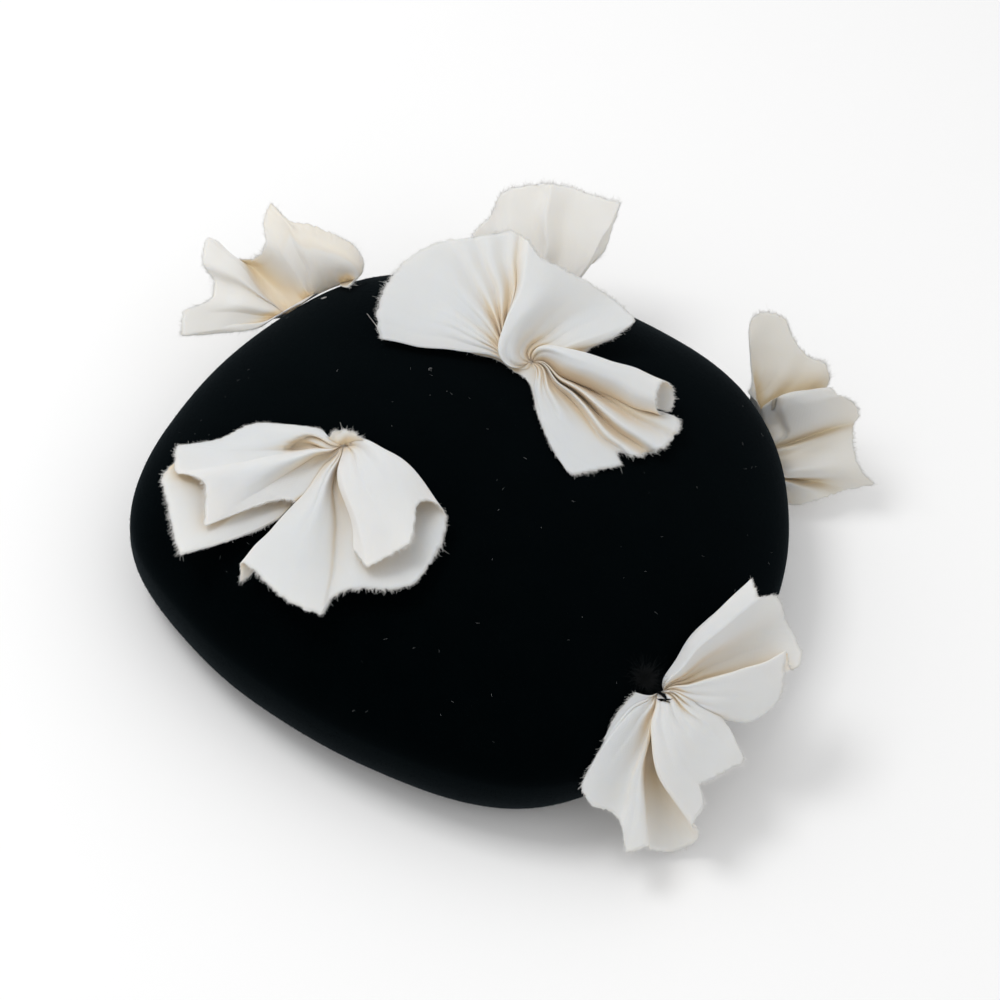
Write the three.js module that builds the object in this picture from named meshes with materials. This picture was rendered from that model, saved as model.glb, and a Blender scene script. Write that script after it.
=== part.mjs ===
// A cocktail hat: a bun-shaped velvet crown, open underneath, with six raw-edged bows of
// cream cotton stitched around it. Sizes are in millimetres, +Z is up, -Y is the front of
// the hat and +X is the wearer's left.
import * as THREE from "three";

// The crown in plan: how far it reaches from its centre, and how full each half is. A power of
// 1 makes straight sides between four points, and 2 makes an ellipse.
const plan = { front: 152, back: 161, left: 165, right: 130, frontPower: 1.54, backPower: 1.81 };
// The share of the plan over which one side passes into the next, and that rounds its points.
const planBlend = 0.5;
const planRounding = 0.1;
// The crown in height: its top, its widest line, and how far the wall tucks in below that.
const rise = { top: 80, widest: 36, tuck: 22, planPower: 2, heightPower: 2 };
const crownWall = 3;
const crownSegments = 72;
const domeSteps = 12;
const tuckSteps = 5;

// The bows are drawn on a pattern plane that is square to this line, which comes down from
// the wearer's left. "across" and "up" lie in the plane and "lift" points along the line.
const sight = { azimuth: 64.1, elevation: 51.1, roll: 11.8 };
const clothWall = 1;
// The cloth is squeezed thin at the pinch and has its full thickness this far out.
const pinchWall = 0.5;
const squeezedReach = 9;
const stepsBetweenFolds = 2;
const ringsFromPinch = 5;
const ringCrowding = 1.4;
// The pinch sits this far off the crown, and the middle of the cloth stays this far off it.
const seatGap = 0.35;
const clothClearance = 2.6;
const clearanceStart = 0.1;
const lowestCloth = 2;
// The cloth bulges most before the middle of its reach, and its rim turns out over the last
// of it.
const bulgeSkew = 0.75;
const lipStart = 0.7;
// A point inside the crown moves out to its surface in these steps, each at most so far.
const settlingSteps = 8;
const furthestMove = 6;
const slopeStep = 0.05;

// One row for each fold or corner of a piece of cloth, seen from the pinch: where its edge
// lies, how far the cloth between bulges out (arch) and sideways (bend), how far its rim
// turns out (lip), and whether the edge has a corner there.
const columns = ["across", "up", "lift", "arch", "bend", "lip", "corner"];

const bows = [
  {
    name: "bow_crest",
    seat: [-37, 43, 76],
    lean: [-0.15, -0.45],
    closed: true,
    folds: [
      [30, 5, -6, 0, 0, 0, 0],
      [51, 21, -2, 4, 0, 0, 1],
      [37, 32, -1, 6, 0, 0, 0],
      [23, 41, -2, 7, 0, 0, 0],
      [12, 44, -2, 4, 0, 0, 0],
      [6, 49, 5, 8, 0, 0, 1],
      [0, 54, 0, 3, 0, 0, 0],
      [-7, 62, 3, 5, 0, 0, 1],
      [-16, 59, 0, 2, 0, 0, 0],
      [-24, 60, 3, 4, 0, 0, 0],
      [-38, 57, 4, 5, 0, 0, 0],
      [-58, 44, 2, 6, 0, 0, 0],
      [-69, 24, 0, 6, 0, 0, 0],
      [-68, 10, -1, 5, 0, 0, 1],
      [-53, 10, 1, 4, 0, 0, 0],
      [-38, 8, 1, 3, 0, 0, 0],
      [-14, 0, 2, 1, 0, 0, 0],
      [-8, -4, 2, 1, 0, 0, 0],
      [-1, -15, 1, 1, 0, 0, 0],
      [1, -30, 3, 2, 0, 0, 0],
      [15, -57, 12, 2, 0, 0, 1],
      [28, -52, 14, 4, 0, 0, 0],
      [40, -48, 18, 6, 0, 0, 1],
      [36, -40, 11, 1, 0, 0, 0],
      [46, -43, 18, 7, 0, 0, 0],
      [52, -41, 13, 3, 0, 0, 0],
      [58, -41, 19, 7, 0, 0, 0],
      [63, -36, 13, 3, 0, 0, 0],
      [67, -32, 15, 3, 0, 0, 1],
      [66, -25, 11, 2, 0, 0, 0],
      [58, -22, 13, 4, -2, 0, 0],
      [60, -16, 19, 6, 0, 0, 0],
      [62, -9, 14, 5, 4, 0, 0],
      [64, -12, 5, 0, 4, 0, 0],
    ],
  },
  {
    name: "bow_front",
    seat: [-5, -54, 77],
    lean: [0, -0.73],
    folds: [
      [9, -3, 6, 3, 0, 0, 0],
      [4, 4, 8, 2, 0, 0, 0],
      [-2, 6, 7, 2, 0, 0, 0],
      [-6, 2, 3, 1, 0, 0, 0],
      [-9, 7, 5, 1, 0, 0, 0],
      [-19, 9, 5, 3, 0, 0, 0],
      [-40, 10, 5, 5, 0, 0, 0],
      [-55, 3, 5, 6, 2, 0, 0],
      [-74, 0, 4, 6, 3, 0, 1],
      [-73, -12, 9, 7, 0, 0, 1],
      [-60, -16, 13, 9, 0, 0, 0],
      [-59, -35, 10, 5, -3, 0, 1],
      [-31, -24, 8, 3, -2, 0, 0],
      [-21, -23, 5, 1, 0, 0, 0],
      [-66, -6, 0, 2, 0, 2, 0],
      [-79, -14, 0, 3, 0, 5, 1],
      [-74, -31, 2, 2, 0, 5, 0],
      [-69, -47, 5, 2, -4, 4, 1],
      [-48, -41, 2, -1, -4, 0, 0],
      [-29, -33, -1, 0, -2, 0, 0],
      [-20, -25, -1, 0, 0, 0, 0],
      [-36, -52, 0, 0, 0, 0, 0],
      [-43, -59, 2, 0, 0, 0, 1],
      [-43, -50, 7, 4, 0, 0, 1],
      [-37, -53, 10, 6, 0, 0, 0],
      [-26, -63, 12, 8, 0, 0, 0],
      [-16, -69, 11, 8, 0, 0, 0],
      [-7, -72, 7, 5, 0, 0, 1],
      [-5, -67, 1, 0, 0, 0, 0],
      [2, -62, 5, 3, 0, 0, 0],
      [11, -61, 7, 4, 0, 0, 0],
      [30, -60, 4, 3, 0, 0, 0],
      [42, -44, 3, 4, 3, 0, 0],
      [45, -32, 6, 8, 7, 0, 0],
      [41, -25, 13, 12, 9, 0, 0],
      [33, -25, 19, 13, 8, 0, 0],
      [31, -38, 19, 11, 3, 0, 0],
      [28, -43, 18, 10, 1, 0, 0],
      [12, -52, 13, 9, 0, 0, 1],
      [6, -45, 10, 7, 0, 0, 0],
    ],
  },
  {
    name: "bow_side",
    seat: [135, 51, 54],
    lean: [-0.32, -0.02],
    folds: [
      [-10, 1, 4, 1, 0, 0, 1],
      [-20, -10, 3, 2, -2, 0, 0],
      [-27, -22, 3, 3, -4, 0, 0],
      [-34, -39, 6, 4, -5, 0, 1],
      [-30, -46, 8, 4, -2, 0, 0],
      [-19, -51, 6, 3, 0, 0, 0],
      [-15, -58, 9, 4, 0, 0, 0],
      [-16, -68, 8, 5, 0, 0, 1],
      [-6, -65, 11, 6, 0, 0, 0],
      [-4, -68, -5, -3, 0, 0, 0],
      [6, -70, -9, -5, 0, 0, 0],
      [16, -66, -5, -4, 0, 0, 0],
      [18, -60, 3, 0, 0, 0, 0],
      [14, -56, 12, 8, 1, 0, 0],
      [18, -48, 13, 9, 0, 0, 0],
      [17, -39, 13, 8, 0, 0, 1],
      [38, -30, 8, 6, 0, 0, 1],
      [30, -14, 6, 5, 0, 0, 0],
      [20, -4, 5, 4, 0, 0, 0],
      [9, -3, 3, 2, 0, 0, 0],
      [7, -2, 2, 1, 0, 0, 0],
      [29, -12, 3, 4, 0, 0, 1],
      [41, -13, 5, 5, 0, 0, 0],
      [52, -5, 8, 5, 0, 0, 0],
      [55, 4, 10, 5, 0, 0, 0],
      [56, 18, 12, 5, -1, 0, 1],
      [58, 8, 2, 0, 0, 0, 0],
      [64, 12, 2, 0, 0, 0, 1],
      [64, 17, 2, 0, 0, 0, 0],
      [57, 31, 0, 0, 0, 0, 0],
      [53, 41, 7, 4, 0, 0, 0],
      [44, 41, 10, 6, 2, 0, 0],
      [41, 49, 4, 3, 3, 0, 1],
      [39, 44, 1, 1, 5, 0, 0],
    ],
  },
  {
    name: "bow_far",
    seat: [-110, -32, 53],
    lean: [0, 0],
    folds: [
      [12, 4, 4, 1, 0, 0, 0],
      [14, 7, 2, 2, -2, 0, 0],
      [19, 16, 2, 5, -3, -3, 0],
      [12, 26, 4, 8, 0, -6, 0],
      [-6, 34, 5, 8, 0, -6, 0],
      [-16, 36, 5, 8, 0, -6, 0],
      [-25, 45, 4, 7, 0, -6, 1],
      [-28, 34, 3, 5, 0, -3, 0],
      [-27, 26, 0, 3, 0, 0, 0],
      [-32, 19, -8, -3, 0, 0, 0],
      [-45, 20, -12, -6, 0, 0, 0],
      [-49, 26, -6, -3, 0, 0, 0],
      [-54, 28, 3, 1, -2, 0, 1],
      [-56, 16, 7, 4, 0, 0, 0],
      [-51, 8, 3, 3, 0, 0, 0],
      [-52, -1, 6, 5, 0, 0, 0],
      [-65, -6, 6, 5, 0, 0, 1],
      [-66, -18, 5, 5, 0, 0, 1],
      [-31, -12, 4, 4, 0, 0, 0],
      [-20, -6, 3, 2, 0, 0, 0],
      [-8, -2, 2, 1, 0, 0, 0],
    ],
  },
  {
    name: "bow_crest_back",
    seat: [-104, 74, 49],
    lean: [0, 0],
    closed: true,
    folds: [
      [-33, 20, -6, 0, 0, 0, 0],
      [-30, 28, -2, 3, 0, 0, 0],
      [-20, 35, 4, 4, 0, 0, 0],
      [-20, 43, -4, 2, 0, 0, 1],
      [-13, 46, -2, 3, 0, 0, 0],
      [0, 48, -1, 3, 0, 0, 0],
      [6, 48, 5, 4, 0, 0, 0],
      [20, 45, -2, 3, 0, 0, 0],
      [38, 40, 3, 4, 0, 0, 1],
      [34, 29, 1, 3, 0, 0, 0],
      [30, 17, -4, 1, 0, 0, 0],
      [19, 7, -6, 0, 0, 0, 0],
      [25, 8, -40, 3, 0, 0, 0],
      [5, 16, -52, 4, 0, 0, 0],
      [-18, 12, -44, 2, 0, 0, 0],
      [-30, 6, -22, 0, 0, 0, 0],
    ],
  },
  {
    name: "bow_back",
    seat: [-4, 158, 36],
    lean: [0, 0],
    folds: [
      [-3, 18, 0, 0, 0, 0, 0],
      [-5, 28, 0, 1, 0, 0, 0],
      [-8, 47, 0, 2, 0, 0, 0],
      [-4, 60, 1, 2, 0, 0, 0],
      [7, 57, 2, 3, 0, 0, 0],
      [17, 43, 2, 3, 0, 0, 0],
      [27, 37, 1, 2, 0, 0, 0],
      [32, 27, -3, 0, 0, 0, 0],
      [31, 24, 4, 4, 8, 0, 0],
      [35, 21, 9, 7, 4, 0, 0],
      [45, 13, 7, 5, 0, 0, 1],
      [43, 9, -1, 0, 0, 0, 0],
      [43, 6, 8, 5, 0, 0, 0],
      [43, -2, 9, 5, 0, 0, 0],
      [45, -11, 8, 4, 0, 0, 0],
      [54, -20, 6, 3, 0, 0, 1],
      [40, -23, 3, 0, 0, 0, 0],
      [23, -28, 4, 2, 0, 0, 0],
      [13, -29, 3, 1, 0, 0, 0],
      [-4, -24, -12, 0, 0, 0, 0],
    ],
  },
];

const velvet = new THREE.MeshStandardMaterial({ name: "velvet", color: 0x0b0e10, roughness: 0.95, metalness: 0 });

function cottonMaterial() {
  return new THREE.MeshStandardMaterial({ name: "cotton", color: 0xe6e1d6, roughness: 0.9, metalness: 0 });
}

// How far the crown reaches in plan at a turn around its centre.
function planReach(turn) {
  const x = Math.cos(turn);
  const y = Math.sin(turn);
  const towardsBack = THREE.MathUtils.smoothstep(y, -planBlend, planBlend);
  const towardsLeft = THREE.MathUtils.smoothstep(x, -planBlend, planBlend);
  const length = THREE.MathUtils.lerp(plan.front, plan.back, towardsBack);
  const power = THREE.MathUtils.lerp(plan.frontPower, plan.backPower, towardsBack);
  const width = THREE.MathUtils.lerp(plan.right, plan.left, towardsLeft);
  const sideways = Math.hypot(x, planRounding) / width;
  const endways = Math.hypot(y, planRounding) / length;
  return (sideways ** power + endways ** power) ** (-1 / power);
}

function domeHeight(share, top) {
  return rise.widest + (top - rise.widest) * (1 - share ** rise.planPower) ** (1 / rise.heightPower);
}

function tuckInset(depth) {
  return rise.tuck * (1 - Math.sqrt(1 - depth * depth));
}

// One face of the crown's wall, from the top down to the rim. Each point has its share of the
// reach in plan, how far it is set in from that, and its height.
function crownFace(inset) {
  const points = [];
  for (let i = 0; i <= domeSteps; i += 1) {
    const share = Math.sin((i / domeSteps) * (Math.PI / 2));
    points.push({ share, inset: inset * share, height: domeHeight(share, rise.top - inset) });
  }
  for (let i = 1; i <= tuckSteps; i += 1) {
    const depth = Math.sin((i / tuckSteps) * (Math.PI / 2));
    points.push({ share: 1, inset: inset + tuckInset(depth), height: rise.widest * (1 - depth) });
  }
  return points;
}

// A turned shell with a unit reach, whose points then move out to the crown's plan.
function crownGeometry() {
  const profile = [...crownFace(crownWall), ...crownFace(0).reverse()];
  const points = profile.map((point) => new THREE.Vector2(point.share, point.height));
  const geometry = new THREE.LatheGeometry(points, crownSegments);
  geometry.rotateX(Math.PI / 2);
  const place = geometry.attributes.position;
  for (let i = 0; i < place.count; i += 1) {
    const { share, inset } = profile[i % profile.length];
    if (share > 0) {
      const turn = Math.atan2(place.getY(i), place.getX(i));
      const reach = share * planReach(turn) - inset;
      place.setXY(i, reach * Math.cos(turn), reach * Math.sin(turn));
    }
  }
  return geometry;
}

// Above 0 outside the crown and below 0 inside it.
function crownField(point) {
  const reach = planReach(Math.atan2(point.y, point.x));
  const distance = Math.hypot(point.x, point.y);
  if (point.z >= rise.widest) {
    const height = (point.z - rise.widest) / (rise.top - rise.widest);
    return (distance / reach) ** rise.planPower + height ** rise.heightPower - 1;
  }
  const depth = Math.min((rise.widest - point.z) / rise.widest, 1);
  return distance / (reach - tuckInset(depth)) - 1;
}

function crownSlope(point) {
  const slope = new THREE.Vector3();
  for (const axis of ["x", "y", "z"]) {
    const ahead = point.clone();
    const behind = point.clone();
    ahead[axis] += slopeStep;
    behind[axis] -= slopeStep;
    slope[axis] = (crownField(ahead) - crownField(behind)) / (2 * slopeStep);
  }
  return slope;
}

// How far a point is from the crown, and the way straight out from the crown there.
function crownDistance(point) {
  const slope = crownSlope(point);
  return { away: crownField(point) / slope.length(), outward: slope.normalize() };
}

function settleOnCrown(point) {
  for (let attempt = 0; attempt < settlingSteps; attempt += 1) {
    const { away, outward } = crownDistance(point);
    point.addScaledVector(outward, -away);
  }
  return point;
}

// Moves a point of cloth out until it is clear of the crown, and up off the resting surface.
function clearOfCrown(point, clearance) {
  for (let attempt = 0; attempt < settlingSteps; attempt += 1) {
    const { away, outward } = crownDistance(point);
    point.addScaledVector(outward, Math.min(Math.max(clearance - away, 0), furthestMove));
  }
  point.z = Math.max(point.z, lowestCloth);
  return point;
}

function patternAxes() {
  const azimuth = THREE.MathUtils.degToRad(sight.azimuth);
  const elevation = THREE.MathUtils.degToRad(sight.elevation);
  const roll = THREE.MathUtils.degToRad(sight.roll);
  const lift = new THREE.Vector3(
    Math.sin(azimuth) * Math.cos(elevation),
    -Math.cos(azimuth) * Math.cos(elevation),
    Math.sin(elevation),
  );
  const level = new THREE.Vector3(Math.cos(azimuth), Math.sin(azimuth), 0);
  const across = level.clone().applyAxisAngle(lift, roll);
  const up = new THREE.Vector3().crossVectors(lift, across);
  return { across, up, lift };
}

const axes = patternAxes();

// The folds of a piece of cloth joined by a smooth curve, which turns sharply at a corner.
function curveThroughFolds(bow) {
  const folds = bow.folds.map((row) => Object.fromEntries(columns.map((name, i) => [name, row[i]])));
  const count = folds.length;
  const near = (i) => (bow.closed ? folds[(i + count) % count] : folds[Math.min(Math.max(i, 0), count - 1)]);
  const tangent = (i, name) => (near(i).corner ? 0 : (near(i + 1)[name] - near(i - 1)[name]) / 2);
  const curve = [];
  const spans = bow.closed ? count : count - 1;
  for (let i = 0; i < spans; i += 1) {
    for (let step = 0; step < stepsBetweenFolds; step += 1) {
      const t = step / stepsBetweenFolds;
      const ray = {};
      for (const name of columns) {
        const start = near(i)[name] * (2 * t ** 3 - 3 * t ** 2 + 1) + tangent(i, name) * (t ** 3 - 2 * t ** 2 + t);
        const end = near(i + 1)[name] * (3 * t ** 2 - 2 * t ** 3) + tangent(i + 1, name) * (t ** 3 - t ** 2);
        ray[name] = start + end;
      }
      curve.push(ray);
    }
  }
  if (!bow.closed) {
    curve.push(folds[count - 1]);
  }
  return curve;
}

// The middle of the cloth along one ray, from the pinch at the seat out to the edge.
function clothRay(seat, bow, ray) {
  const pinchClearance = seatGap + (pinchWall / 2) * crownSlope(seat).normalize().dot(axes.lift);
  const reach = Math.hypot(ray.across, ray.up);
  const points = [];
  for (let ring = 0; ring <= ringsFromPinch; ring += 1) {
    const share = (ring / ringsFromPinch) ** ringCrowding;
    const bulge = Math.sin(Math.PI * share ** bulgeSkew);
    const turnedRim = THREE.MathUtils.smoothstep(share, lipStart, 1) ** 2;
    const across = ray.across * share - (ray.bend * bulge * ray.up) / reach;
    const up = ray.up * share + (ray.bend * bulge * ray.across) / reach;
    const lean = bow.lean[0] * across + bow.lean[1] * up;
    const lift = ray.lift * share + ray.arch * bulge + ray.lip * turnedRim + lean;
    const point = seat.clone();
    point.addScaledVector(axes.across, across);
    point.addScaledVector(axes.up, up);
    point.addScaledVector(axes.lift, lift);
    const clearance = THREE.MathUtils.lerp(pinchClearance, clothClearance, Math.min(share / clearanceStart, 1));
    points.push(clearOfCrown(point, clearance));
  }
  return points;
}

// A wall of cloth around the middle surface, closed all around its edge. A bow that runs all
// the way round has two faces at the pinch, and any other comes to a point there.
function bowGeometry(bow, seat) {
  const rays = curveThroughFolds(bow).map((ray) => clothRay(seat, bow, ray));
  const count = rays.length;
  const edge = ringsFromPinch;
  const near = (i) => (bow.closed ? rays[(i + count) % count] : rays[Math.min(Math.max(i, 0), count - 1)]);
  const points = [];
  for (const side of [1, -1]) {
    if (bow.closed || side === 1) {
      points.push(rays[0][0].clone().addScaledVector(axes.lift, bow.closed ? (side * pinchWall) / 2 : 0));
    }
    for (let i = 0; i < count; i += 1) {
      for (let ring = 1; ring <= edge; ring += 1) {
        const middle = rays[i][ring];
        const along = rays[i][Math.min(ring + 1, edge)].clone().sub(rays[i][ring - 1]);
        const around = near(i + 1)[ring].clone().sub(near(i - 1)[ring]);
        const fullness = Math.min(middle.distanceTo(rays[i][0]) / squeezedReach, 1);
        const half = THREE.MathUtils.lerp(pinchWall, clothWall, fullness) / 2;
        points.push(middle.clone().addScaledVector(along.cross(around).normalize(), side * half));
      }
    }
  }
  const upper = (i, ring) => (ring === 0 ? 0 : 1 + (i % count) * edge + ring - 1);
  const lower = (i, ring) => (ring === 0 && !bow.closed ? 0 : upper(i, ring) + count * edge + (bow.closed ? 1 : 0));
  const triangles = [];
  const quad = (a, b, c, d) => triangles.push(a, b, c, a, c, d);
  for (let i = 0; i < (bow.closed ? count : count - 1); i += 1) {
    triangles.push(upper(i, 0), upper(i, 1), upper(i + 1, 1));
    triangles.push(lower(i, 0), lower(i + 1, 1), lower(i, 1));
    for (let ring = 1; ring < edge; ring += 1) {
      quad(upper(i, ring), upper(i, ring + 1), upper(i + 1, ring + 1), upper(i + 1, ring));
      quad(lower(i, ring), lower(i + 1, ring), lower(i + 1, ring + 1), lower(i, ring + 1));
    }
    quad(upper(i + 1, edge), upper(i, edge), lower(i, edge), lower(i + 1, edge));
  }
  if (!bow.closed) {
    const last = count - 1;
    triangles.push(upper(0, 0), lower(0, 1), upper(0, 1));
    triangles.push(upper(last, 0), upper(last, 1), lower(last, 1));
    for (let ring = 1; ring < edge; ring += 1) {
      quad(upper(0, ring + 1), upper(0, ring), lower(0, ring), lower(0, ring + 1));
      quad(upper(last, ring), upper(last, ring + 1), lower(last, ring + 1), lower(last, ring));
    }
  }
  const geometry = new THREE.BufferGeometry();
  geometry.setFromPoints(points.map((point) => point.sub(seat)));
  geometry.setIndex(triangles);
  geometry.computeVertexNormals();
  return geometry;
}

function bowMesh(bow) {
  const seat = settleOnCrown(new THREE.Vector3(...bow.seat));
  const mesh = new THREE.Mesh(bowGeometry(bow, seat), cottonMaterial());
  mesh.name = bow.name;
  mesh.position.copy(seat);
  return mesh;
}

const hat = new THREE.Group();
const crown = new THREE.Mesh(crownGeometry(), velvet);
crown.name = "crown";
hat.add(crown);
for (const bow of bows) {
  hat.add(bowMesh(bow));
}

// The origin goes to the middle of the whole hat, on the surface that its rim rests on.
const bounds = new THREE.Box3().setFromObject(hat);
hat.position.set(-(bounds.min.x + bounds.max.x) / 2, -(bounds.min.y + bounds.max.y) / 2, -bounds.min.z);

export default hat;
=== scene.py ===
import math

import bpy
import numpy as np
from mathutils import Matrix, Vector
from mathutils.bvhtree import BVHTree


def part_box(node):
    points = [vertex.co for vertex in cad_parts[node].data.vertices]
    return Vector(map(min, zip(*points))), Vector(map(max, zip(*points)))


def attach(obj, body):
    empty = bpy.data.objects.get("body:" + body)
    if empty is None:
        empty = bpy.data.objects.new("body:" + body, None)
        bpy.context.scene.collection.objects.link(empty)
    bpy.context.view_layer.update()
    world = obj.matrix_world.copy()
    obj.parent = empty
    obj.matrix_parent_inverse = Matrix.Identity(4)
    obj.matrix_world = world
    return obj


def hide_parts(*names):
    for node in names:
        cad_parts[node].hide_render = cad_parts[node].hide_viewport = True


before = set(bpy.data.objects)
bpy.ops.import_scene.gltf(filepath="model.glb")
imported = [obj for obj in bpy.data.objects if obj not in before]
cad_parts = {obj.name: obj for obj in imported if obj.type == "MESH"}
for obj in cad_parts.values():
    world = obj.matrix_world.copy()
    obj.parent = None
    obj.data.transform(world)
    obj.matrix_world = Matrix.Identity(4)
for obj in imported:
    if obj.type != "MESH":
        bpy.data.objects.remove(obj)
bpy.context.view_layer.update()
mm = 0.001
print("frame loaded:", len(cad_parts), "nodes")


# Small helpers for curves and noise

def smooth(value, low, high):
    share = np.clip((value - low) / (high - low), 0, 1)
    return share * share * (3 - 2 * share)


def mixed(first, second, share):
    return first + (second - first) * share


# A smooth random curve between -1 and 1 with one knot at each whole number. It repeats after
# a period of knots, so that it can run round a closed piece.
def waver(value, seed, period=4096):
    knots = np.random.RandomState(seed).uniform(-1, 1, period)
    low = np.floor(value).astype(int)
    share = value - low
    share = share * share * (3 - 2 * share)
    return mixed(knots[low % period], knots[(low + 1) % period], share)


# The same over a plane, with so many millimetres between knots
def ripple(first, second, size, shift, seed, period=256):
    knots = np.random.RandomState(seed).uniform(-1, 1, (period, period))
    first, second = first / size + shift, second / size + shift
    i, j = np.floor(first).astype(int), np.floor(second).astype(int)
    s, t = first - i, second - j
    s, t = s * s * (3 - 2 * s), t * t * (3 - 2 * t)
    near = mixed(knots[i % period, j % period], knots[(i + 1) % period, j % period], s)
    far = mixed(knots[i % period, (j + 1) % period], knots[(i + 1) % period, (j + 1) % period], s)
    return mixed(near, far, t)


# The same over a row of pleats or puckers, with one knot for every few of them
def slowWaver(run, count, few, seed):
    return waver(run * count / few, seed, max(count // few, 2))


# A row of round humps, one for each whole number, with soft valleys between them
def humps(value, softness=0.22):
    return np.sqrt(np.sin(math.pi * value) ** 2 + softness ** 2) - softness


def unit(vectors):
    return vectors / np.maximum(np.linalg.norm(vectors, axis=-1, keepdims=True), 1e-9)


# Rows of values looked up at places along their length
def pickedAlong(places, length, rows):
    return np.stack([np.interp(places, length, column) for column in rows.T], axis=-1)


# Materials, with depths in metres

# One output of a node, for plain arithmetic: each operator adds a Math node.
class Wire:
    def __init__(self, paint, socket):
        self.paint = paint
        self.socket = socket

    def maths(self, operation, first, second):
        return self.paint.node("ShaderNodeMath", {"operation": operation}, {0: first, 1: second})

    def __add__(self, other):
        return self.maths("ADD", self, other)

    def __radd__(self, other):
        return self.maths("ADD", other, self)

    def __sub__(self, other):
        return self.maths("SUBTRACT", self, other)

    def __rsub__(self, other):
        return self.maths("SUBTRACT", other, self)

    def __mul__(self, other):
        return self.maths("MULTIPLY", self, other)

    def __rmul__(self, other):
        return self.maths("MULTIPLY", other, self)

    def __pow__(self, other):
        return self.maths("POWER", self, other)


# A material under construction. node() adds any node: its type, its settings, which are set
# first, and the values or wires of its sockets.
class Paint:
    def __init__(self, name):
        self.material = bpy.data.materials.new(name)
        self.material.use_nodes = True
        self.tree = self.material.node_tree
        self.shader = self.tree.nodes["Principled BSDF"]

    def node(self, kind, settings=None, sockets=None, output=0):
        made = self.tree.nodes.new(kind)
        for name, value in (settings or {}).items():
            if name == "stops":
                for stop, (place, colour) in zip(made.color_ramp.elements, value):
                    stop.position, stop.color = place, colour
            else:
                setattr(made, name, value)
        for name, value in (sockets or {}).items():
            self.feed(made.inputs[name], value)
        return Wire(self, made.outputs[output])

    def feed(self, socket, value):
        if isinstance(value, Wire):
            self.tree.links.new(value.socket, socket)
        else:
            socket.default_value = value

    def noise(self, place, scale, detail=2.0, roughness=0.5):
        sockets = {"Vector": place, "Scale": scale, "Detail": detail, "Roughness": roughness}
        return self.node("ShaderNodeTexNoise", {}, sockets)

    # A Mix node has its two colours in sockets 6 and 7, and their mix at output 2.
    def colours(self, share, first, second):
        return self.node("ShaderNodeMix", {"data_type": "RGBA"}, {0: share, 6: first, 7: second}, 2)

    def bump(self, height, strength, distance):
        sockets = {"Strength": strength, "Distance": distance, "Height": height}
        return self.node("ShaderNodeBump", {}, sockets)

    def place(self):
        return self.node("ShaderNodeTexCoord", {}, {}, "Object")

    def stretched(self, place, *scale):
        return self.node("ShaderNodeMapping", {}, {"Vector": place, "Scale": scale})

    def dress(self, **sockets):
        for name, value in sockets.items():
            self.feed(self.shader.inputs[name.replace("_", " ")], value)
        return self.material


# The cotton's colour is painted warm in its depths, a painted shade and painted bounced light for light
# that has passed through it and bounced; the same colour marks a painted glow where light shows through a
# rim.
def cottonPaint(name, look):
    paint = Paint(name)
    flat = paint.node("ShaderNodeUVMap", {"uv_map": "flat"}, {})
    paintedShadeAndGlow = paint.node("ShaderNodeAttribute", {"attribute_name": "paintedShadeAndGlow"}, {}, "Fac")
    fine, coarse = look["slubScale"], look["yarnScale"]
    slubs = paint.noise(flat, fine, 3.0)
    along, across = paint.stretched(flat, fine, coarse, 1.0), paint.stretched(flat, coarse, fine, 1.0)
    yarns = (paint.noise(along, 1.0) + paint.noise(across, 1.0)) * 0.5
    weave = {"Vector": flat, "Scale": look["weaveScale"], "Distortion": look["weaveWander"]}
    warp = paint.node("ShaderNodeTexWave", {"bands_direction": "X"}, weave, "Fac")
    weft = paint.node("ShaderNodeTexWave", {"bands_direction": "Y"}, weave, "Fac")
    lit = paint.colours(yarns, look["dull"], look["bright"])
    # painted shade and painted glow: the colour turns to the shade colour by the attribute
    colour = paint.colours(paintedShadeAndGlow, lit, look["shadeAndGlowColour"])
    relief = (warp + weft) * look["weaveShare"] + yarns * look["yarnShare"] + slubs * look["slubShare"]
    return paint.dress(
        Base_Color=colour, Normal=paint.bump(relief, look["relief"], look["reliefDepth"]), Roughness=0.92,
        Sheen_Weight=0.1, Sheen_Roughness=0.5, Specular_IOR_Level=0.15, Subsurface_Weight=look["glow"],
        Subsurface_Radius=(1.0, 0.82, 0.62), Subsurface_Scale=0.003,
    )


cottonLook = {
    "bright": (0.765, 0.755, 0.73, 1.0), "dull": (0.72, 0.705, 0.67, 1.0), "shadeAndGlowColour": (0.73, 0.60, 0.45, 1.0),
    "slubScale": 60.0, "yarnScale": 9.0, "weaveScale": 560.0, "weaveWander": 1.5, "slubShare": 0.4,
    "yarnShare": 0.5, "weaveShare": 0.35, "relief": 0.25, "reliefDepth": 0.0002, "glow": 0.6,
}
cotton = cottonPaint("cotton", cottonLook)
# A darker copy of the cotton, a painted shade: the same cloth painted darker for the back bow, which lies
# in shade.
paintedShadeCottonLook = {
    **cottonLook, "bright": (0.655, 0.645, 0.62, 1.0), "dull": (0.615, 0.60, 0.565, 1.0),
    "shadeAndGlowColour": (0.60, 0.515, 0.405, 1.0),
}
paintedShadeCotton = cottonPaint("paintedShadeCotton", paintedShadeCottonLook)


threadLook = {"scale": 900.0, "dark": 0.8}


def threadPaint(name, colour):
    paint = Paint(name)
    dark = colour[1] * threadLook["dark"]
    fibres = paint.noise(paint.place(), threadLook["scale"])
    shade = paint.colours(fibres, (dark, dark, dark, 1.0), colour)
    return paint.dress(Base_Color=shade, Roughness=0.9, Specular_IOR_Level=0.1)


creamThread = threadPaint("creamThread", (0.90, 0.88, 0.84, 1.0))
blackThread = threadPaint("blackThread", (0.006, 0.007, 0.008, 1.0))
blackFuzz = threadPaint("blackFuzz", (0.013, 0.016, 0.018, 1.0))
lintThread = threadPaint("lintThread", (0.42, 0.42, 0.42, 1.0))
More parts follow.
